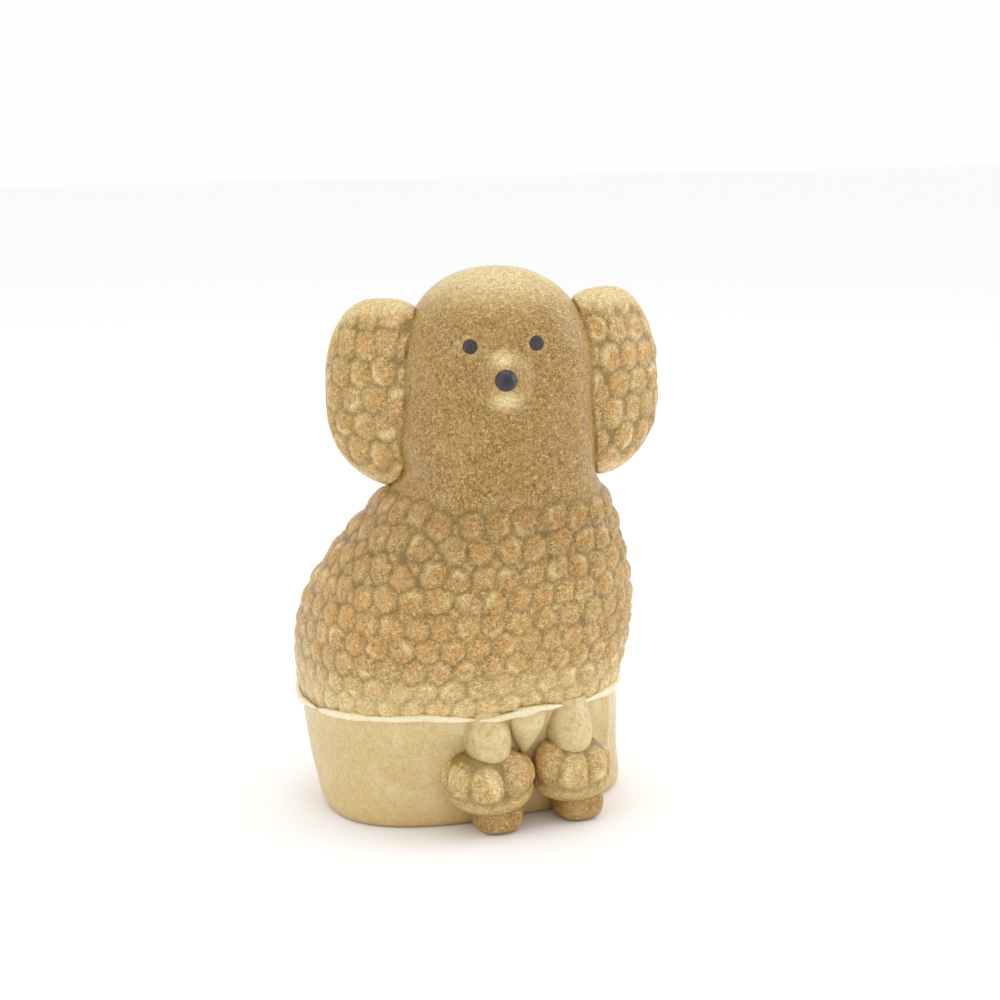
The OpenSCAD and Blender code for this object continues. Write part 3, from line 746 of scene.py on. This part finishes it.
# An ear has curls on both faces, which end at a smooth rim and where the ear meets the head.
def makeEar(side, name, node):
    look = earLook
    rng = np.random.default_rng(30 + side)
    skin = lambda level, t: earSkin(side, np.sin(level), t)
    spacing = look["pitch"] * 0.9 / (look["height"] / 2)
    rows = np.arcsin(np.clip(np.arange(-0.88, 0.95, spacing), -0.97, 0.97))
    level, t = placeCurls(skin, rows, look["pitch"], rng, look["jitter"], look["pushes"])
    curls = describeCurls(skin, level, t, rng)
    latitude = np.radians(np.linspace(-88, 88, look["rows"]))[:, None]
    turn = np.linspace(0, 1, look["columns"], endpoint=False)[None]
    base = skin(latitude, turn)
    relief = curlRelief(base, curls, {**coatLook, **look["curl"], "seed": 70 + side})
    away = np.linalg.norm(base - offBody(base, -0.6), axis=-1)  # near 0 where the ear stands free of the head
    free = 1 - smoothStep(away, 0.02, 0.5)
    u, power = np.sin(latitude), look["power"]
    closed = (1 - np.abs(u) ** power) ** (1 / power) * np.maximum(np.cos(2 * np.pi * turn), -0.3 * (u < 0.6))
    outline = (np.abs(closed) ** power + np.abs(u) ** power) ** (1 / power)
    inner = 1 - smoothStep(outline, *look["rim"])  # 0 along the smooth rim of the ear
    height = relief["height"] * free * inner + look["rimHeight"] * (1 - inner) * free
    points = base + outwardNormals(base) * height[..., None]
    makePiece(name, points, curlGlaze, [node],
              marks={"crease": relief["crease"] * free * inner + 0.7 * (1 - free),
                     "warm": relief["warm"] * free * inner,
                     "rim": relief["rim"] * inner + 0.8 * (1 - inner) * free, "brownAndShade": 0})


makeEar(-1, "rightEar", "right_ear")
makeEar(1, "leftEar", "left_ear")

# The forelegs, cuffs and paws. Side is -1 for the right one and 1 for the left one.
legLook = {
    "middle": 1.9, "gap": 20.6, "line": -29, "pawOut": 2.9, "pawRadius": 5.6, "pawMiddle": 4.2,
    "pawSquare": 2.7, "pawPower": 0.42,
    "cuffWidth": 18.4, "cuffMiddle": 12.8, "cuffHalf": 6.8, "cuffFlat": 0.84, "cuffPower": 0.5,
    "cuffBias": 0.04, "cuffFront": 248,
}
cuffLook = {"height": 1.7, "shoulder": 3.2, "reach": 4.0, "upright": 0.8}
rollLook = {"top": 9.0, "rise": 2.2, "below": 1.9, "half": 3.0, "height": 1.1}
# Curls round a cuff: angle in degrees, height, and shrink (a smaller number makes a larger curl).
cuffCurls = {
    "right": [(198, 13.2, 0.1), (246, 12.4, 0), (301, 14.8, -0.5), (350, 13, 0), (150, 13, 0), (40, 12, 0),
              (95, 12, 0)],
    "left": [(204, 14.8, -0.5), (254, 12.6, 0), (300, 13.6, 0.2), (350, 12.6, 0), (155, 13, 0), (40, 12, 0),
             (95, 12, 0)],
}


# A point given from the middle of a leg, kept out of the body.
def legPoint(side, x, y, z):
    return offBody(stack(legLook["middle"] + side * legLook["gap"] / 2 + x, legLook["line"] + y, z))


# A cuff: a flattened, rather square ball whose rings move sideways as they go down, towards the paw.
def cuffSkin(side, latitude, t):
    look = legLook
    rise = np.sin(latitude)
    radius = look["cuffWidth"] / 2 * np.clip(np.cos(latitude), 0, 1) ** look["cuffPower"]
    radius = radius * (1 - look["cuffBias"] * side)
    z = look["cuffMiddle"] + look["cuffHalf"] * rise
    return legPoint(side, look["pawOut"] * (1 - rise) / 4 + radius * np.cos(2 * np.pi * t),
                    radius * look["cuffFlat"] * np.sin(2 * np.pi * t), z)


# A cuff has a few large curls above a smooth roll that runs round its lower edge.
def makeCuff(side, name, node, curlList):
    rng = np.random.default_rng(50 + side)
    look = legLook
    skin = lambda level, t: cuffSkin(side, level, t)
    table = np.array(curlList, float)
    rise = np.clip((table[:, 1] - look["cuffMiddle"]) / look["cuffHalf"], -0.95, 0.95)
    curls = describeCurls(skin, np.arcsin(rise), table[:, 0] / 360, rng, 0.1)
    curls["shrink"] = table[:, 2]
    curls["warm"] = np.where(table[:, 2] < -0.3, 1.6, 0.1)  # the tall curl on the inner side is the brown one
    curls["light"] = np.where(table[:, 2] < -0.3, 0.2, 0.9)
    latitude = np.radians(np.linspace(-88, 88, 110))[:, None]
    turn = np.linspace(0, 1, 200, endpoint=False)[None]
    base = skin(latitude, turn)
    relief = curlRelief(base, curls, {**coatLook, **cuffLook, "seed": 90 + side})
    z = base[..., 2]
    facing = 1 - np.cos(2 * np.pi * turn - np.radians(look["cuffFront"]))
    rollTop = rollLook["top"] + rollLook["rise"] * np.minimum(facing, 1)  # it rises at the sides
    above = smoothStep(z, rollTop - 0.6, rollTop + 1.4)
    fromRoll = (z - rollTop + rollLook["below"]) / rollLook["half"]
    roll = np.clip(1 - fromRoll**2, 0, 1) ** 0.6 * rollLook["height"]
    height = relief["height"] * above + roll * (1 - above)
    points = base + outwardNormals(base) * height[..., None]
    groove = 0.7 * bell(z - rollTop - 0.4, 0.6)
    makePiece(name, points, curlGlaze, [node],
              marks={"crease": np.maximum(relief["crease"] * above, 0.9 * groove),
                     "warm": relief["warm"] * above + 0.4 * (1 - above), "rim": 0.3 + relief["rim"] * above,
                     "brownAndShade": 0.5 * smoothStep(curls["warm"][relief["own"]], 1, 1.5) * above})


# A paw: a short, rather square foot, its section a superellipse that narrows at the floor and at the top.
def makePaw(side, name, node):
    look = legLook
    t = np.linspace(0, 2 * np.pi, 96, endpoint=False)[None]
    latitude = np.radians(np.linspace(-88, 88, 48))[:, None]
    radius = look["pawRadius"] * np.cos(latitude) ** look["pawPower"]
    z = np.maximum(look["pawMiddle"] * (1 + signedPower(np.sin(latitude), 0.8)), 0)
    power = look["pawSquare"]
    square = (np.abs(np.cos(t)) ** power + np.abs(np.sin(t)) ** power) ** (-1 / power)
    points = legPoint(side, look["pawOut"] + radius * square * np.cos(t), radius * square * np.sin(t), z)
    makePiece(name, points, curlGlaze, [node],
              marks={"crease": 0.25 * smoothStep(points[..., 2], 1.5, 5), "warm": 0.5, "rim": 0,
                     "brownAndShade": 0.6})


# Front gives how far forward a foreleg comes at each level.
tongueLook = {
    "top": 29, "tip": 14.6, "round": 9, "halfWidth": 5.8, "depth": 6, "power": 1.9,
    "level": [15, 17, 19, 21, 24, 27, 29], "front": [-37.0, -37.0, -36.5, -35.7, -34.3, -32.6, -31.5],
}


# A foreleg: a smooth tongue of clay that hangs from the coat over the cuff. Its lower end closes as a
# superellipse does.
def makeForeleg(side, name, node):
    look, tip = tongueLook, tongueLook["tip"]
    t = np.linspace(0, 2 * np.pi, 110, endpoint=False)[None]
    share = np.linspace(0, 1, 80)[:, None]
    z = tip + (look["top"] - tip) * share**1.4
    low = np.clip((tip + look["round"] - z) / look["round"], 0, 0.9995)
    close = (1 - low ** look["power"]) ** (1 / look["power"])
    front = np.interp(z, look["level"], look["front"]) - legLook["line"] + look["depth"]
    points = legPoint(side, look["halfWidth"] * close * np.cos(t),
                      front + look["depth"] * close * np.sin(t), z)
    height = points[..., 2]
    # Painted shade down both sides of the tongue, where it turns in towards the wall.
    paintedSideShade = smoothStep(np.abs(np.cos(t)), 0.6, 0.95)
    specks = smoothStep(clayWaves(points, 1.6, 21), 0.25, 0.7) * smoothStep(height, 18, 22)
    makePiece(name, points, smoothGlaze, [node],
              marks={"crease": 0.5 * paintedSideShade * smoothStep(height, 15, 20) + 0.25 * specks, "warm": 0.7 * specks,
                     "rim": 0.25})


for side, word in ((-1, "right"), (1, "left")):
    makeCuff(side, word + "Cuff", word + "_cuff", cuffCurls[word])
    makePaw(side, word + "Paw", word + "_paw")
    makeForeleg(side, word + "Foreleg", word + "_foreleg")

tuftLook = {"top": 29, "tip": 16.8, "halfWidth": 4.4, "depth": 3.2, "x": 1.2}


# The chest tuft: a pointed drop, its width growing as a sine of the height above its tip.
def makeTuft():
    look = tuftLook
    t = np.linspace(0, 2 * np.pi, 72, endpoint=False)[None]
    share = np.linspace(0.004, 1, 60)[:, None] ** 1.3
    z = look["tip"] + (look["top"] - look["tip"]) * share
    width = look["halfWidth"] * np.sin(np.clip(share * 1.25, 0, 1) * np.pi / 2) ** 0.85
    depth = look["depth"] * share**0.45 * (1 - 0.75 * smoothStep(z, 23.5, 27.5))
    front = bodySkin(z, np.full_like(z, -np.pi / 2), 0)[..., 1]
    points = offBody(stack(look["x"] + width * np.cos(t), front - 0.3 + depth * np.sin(t), z))
    makePiece("chestTuft", points, smoothGlaze, ["chest_tuft"],
              marks={"crease": 0, "warm": 0, "rim": 0.8})


makeTuft()

# The tail: a short stem with a ball of curls.
tailLook = {
    "x": -1.5, "ballZ": 43, "ballRadius": 7, "ballOut": 2, "stemRadius": 3.2, "stemBottom": 30,
    "stemOut": 0.7, "rows": [-48, 0, 48], "pitch": 5.4, "curl": {"height": 0.9, "seed": 99},
}


# The stem is a thick tube up the back with round ends, and the ball's skin is a sphere.
def makeTail():
    look = tailLook
    t = np.linspace(0, 2 * np.pi, 96, endpoint=False)[None]
    share = np.linspace(0, 1, 40)[:, None]
    z = look["stemBottom"] + (look["ballZ"] - 4 - look["stemBottom"]) * share
    back = bodySkin(z, np.full_like(z, np.pi / 2), 0)[..., 1] + look["stemOut"]
    ends = np.clip(np.minimum(share, 1 - share) * 12, 0.05, 1) ** 0.5
    radius = (look["stemRadius"] - 1.2 * (2 * share - 1) ** 4) * ends
    points = offBody(stack(look["x"] + radius * np.cos(t), back + radius * np.sin(t), z))
    makePiece("tailStem", points, smoothGlaze, ["tail_stem"],
              marks={"crease": 0, "warm": 0.2, "rim": 0.2})
    rng = np.random.default_rng(77)
    backBall = float(bodySkin(np.array(float(look["ballZ"])), np.array(np.pi / 2), 0)[1]) + look["ballOut"]

    def skin(level, turn):
        return offBody(stack(look["x"] + look["ballRadius"] * np.cos(level) * np.cos(2 * np.pi * turn),
                             backBall + look["ballRadius"] * np.cos(level) * np.sin(2 * np.pi * turn),
                             look["ballZ"] + look["ballRadius"] * np.sin(level)))

    level, turn = placeCurls(skin, np.radians(look["rows"]), look["pitch"], rng)
    curls = describeCurls(skin, level, turn, rng)
    latitude = np.radians(np.linspace(-88, 88, 90))[:, None]
    base = skin(latitude, np.linspace(0, 1, 160, endpoint=False)[None])
    relief = curlRelief(base, curls, {**coatLook, **look["curl"]})
    points = base + outwardNormals(base) * relief["height"][..., None]
    makePiece("tailBall", points, curlGlaze, ["tail_pompom"],
              marks={"crease": relief["crease"], "warm": relief["warm"], "rim": relief["rim"]})


makeTail()
print("figurine made")

# The stage, the light and the camera, in metres. Each lamp has a power, a size and a place.
stageLook = {
    "size": 3.0, "floorTone": (251, 251, 252), "sky": 0.99, "aim": (0, 0, 0.06),
    "lamps": {"topSoftbox": (1.0, 0.6, (0.0, 0.1, 0.75)), "leftSoftbox": (0.6, 0.5, (-0.7, -0.15, 0.4)),
              "rightSoftbox": (1.4, 0.5, (0.65, -0.2, 0.4))},
    "cameraAt": (-0.2028, -0.4350, 0.1665), "cameraAlong": (0.4299, 0.8814, -0.1959), "lens": 75.24,
}


# Turns a lamp or the camera to look in a direction, and adds it to the scene.
def turnTowards(holder, direction):
    holder.rotation_euler = Vector(direction).to_track_quat("-Z", "Y").to_euler()
    bpy.context.scene.collection.objects.link(holder)


def makeStage():
    half = stageLook["size"]
    mesh = bpy.data.meshes.new("studioFloor")
    corners = [(-half, -half, 0), (half, -half, 0), (half, half, 0), (-half, half, 0)]
    mesh.from_pydata(corners, [], [(0, 1, 2, 3)])
    floor = bpy.data.objects.new("studioFloor", mesh)
    bpy.context.scene.collection.objects.link(floor)
    g = GlazeGraph("studioFloor")
    g.put(g.shader.inputs["Base Color"], linear(*stageLook["floorTone"]))
    g.put(g.shader.inputs["Roughness"], 0.9)
    mesh.materials.append(g.material)
    world = bpy.data.worlds.new("softRoom")
    world.use_nodes = True
    world.node_tree.nodes["Background"].inputs["Color"].default_value = (1, 1, 1, 1)
    world.node_tree.nodes["Background"].inputs["Strength"].default_value = stageLook["sky"]
    bpy.context.scene.world = world


def makeLamps():
    for name, (power, size, place) in stageLook["lamps"].items():
        lamp = bpy.data.lights.new(name, "AREA")
        lamp.shape, lamp.size, lamp.energy = "SQUARE", size, power
        holder = bpy.data.objects.new(name, lamp)
        holder.location = place
        turnTowards(holder, Vector(stageLook["aim"]) - Vector(place))


def makeCamera():
    lens = bpy.data.cameras.new("studioCamera")
    lens.lens, lens.sensor_width = stageLook["lens"], 36
    camera = bpy.data.objects.new("studioCamera", lens)
    camera.location = stageLook["cameraAt"]
    turnTowards(camera, stageLook["cameraAlong"])
    bpy.context.scene.camera = camera


makeStage()
makeLamps()
makeCamera()
bpy.context.scene.view_settings.view_transform = "Standard"
print("stage and camera set")
